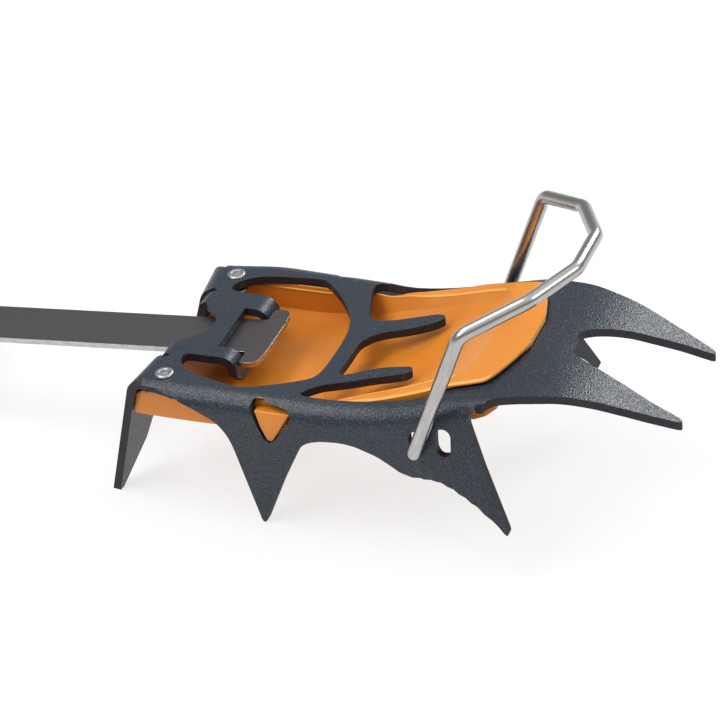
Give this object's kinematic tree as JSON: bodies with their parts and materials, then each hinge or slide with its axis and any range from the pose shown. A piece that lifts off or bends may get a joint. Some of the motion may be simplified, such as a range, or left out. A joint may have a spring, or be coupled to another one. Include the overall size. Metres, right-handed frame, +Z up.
{
  "type": "automatic crampon",
  "caption": "Step-in boot crampon: spiked front frame with wire toe bail, flat linking bar, spiked heel frame with wire and heel lever, orange antiballing shells.",
  "frame": {"origin": "on top of the flat front plate, midway between its two rivets", "axes": "+X towards the front points, +Y to the left across the frame, +Z up out of the spikes' side"},
  "size_m": [0.3761, 0.101, 0.1438],
  "materials": {
    "frame_steel": "dark blue-grey speckled coat",
    "orange_shell": "satin moulded",
    "zinc_steel": "zinc plated",
    "wire_steel": "polished wire",
    "bar_steel": "satin",
    "black_plastic": "fine grained",
    "soft_pad": "matt"
  },
  "bodies": {
    "front_section": {"front_frame": "frame_steel", "front_shell": "orange_shell", "front_rivets": "zinc_steel", "front_washers": "zinc_steel"},
    "toe_binding": {"toe_bail": "wire_steel"},
    "link": {"linking_bar": "bar_steel"},
    "heel_section": {"heel_frame": "frame_steel", "heel_shell": "orange_shell", "heel_rivets": "zinc_steel", "heel_washers": "zinc_steel", "bar_guide": "frame_steel", "guide_rivets": "zinc_steel", "lock_axle": "zinc_steel"},
    "size_lock": {"lock_lever": "bar_steel", "lock_pin": "zinc_steel"},
    "heel_binding": {"heel_wire": "wire_steel"},
    "screw_block": {"wire_block": "zinc_steel", "adjust_screw": "zinc_steel", "screw_clip": "zinc_steel"},
    "heel_lever": {"lever_body": "black_plastic", "lever_pad": "soft_pad"},
    "wheel": {"thumb_wheel": "zinc_steel"}
  },
  "joints": [
    {"name": "bail_hinge", "type": "hinge", "parent": "front_section", "child": "toe_binding", "pos_m": [0.0943, 0, -0.0095], "axis": [0, 1, 0], "range_deg": [-100, 30]},
    {"name": "bar_hinge", "type": "hinge", "parent": "front_section", "child": "link", "pos_m": [0.0153, 0, -0.0052], "axis": [0, 1, 0], "range_deg": [-4, 1]},
    {"name": "size_slide", "type": "slide", "parent": "link", "child": "heel_section", "axis": [1, 0, 0], "range_m": [-0.032, 0.016]},
    {"name": "lock_hinge", "type": "hinge", "parent": "heel_section", "child": "size_lock", "pos_m": [-0.1131, 0, -0.01954], "axis": [0, 1, 0], "range_deg": [0, 6.5]},
    {"name": "heel_wire_hinge", "type": "hinge", "parent": "heel_section", "child": "heel_binding", "pos_m": [-0.139, 0, -0.02224], "axis": [0, 1, 0], "range_deg": [-30, 55]},
    {"name": "lever_hinge", "type": "hinge", "parent": "heel_binding", "child": "screw_block", "pos_m": [-0.185, 0, 0.02176], "axis": [0, 1, 0], "range_deg": [-110, 60]},
    {"name": "lever_slide", "type": "slide", "parent": "screw_block", "child": "heel_lever", "axis": [0, 0, 1], "range_m": [-0.004, 0.004]},
    {"name": "wheel_spin", "type": "hinge", "parent": "heel_lever", "child": "wheel", "pos_m": [-0.185, 0, 0.03976], "axis": [0, 0, 1], "range_deg": [-1800, 1800]}
  ],
  "couplings": [
    {"joint": "lever_slide", "follows": "wheel_spin", "m_per_rad": 0.000127}
  ]
}
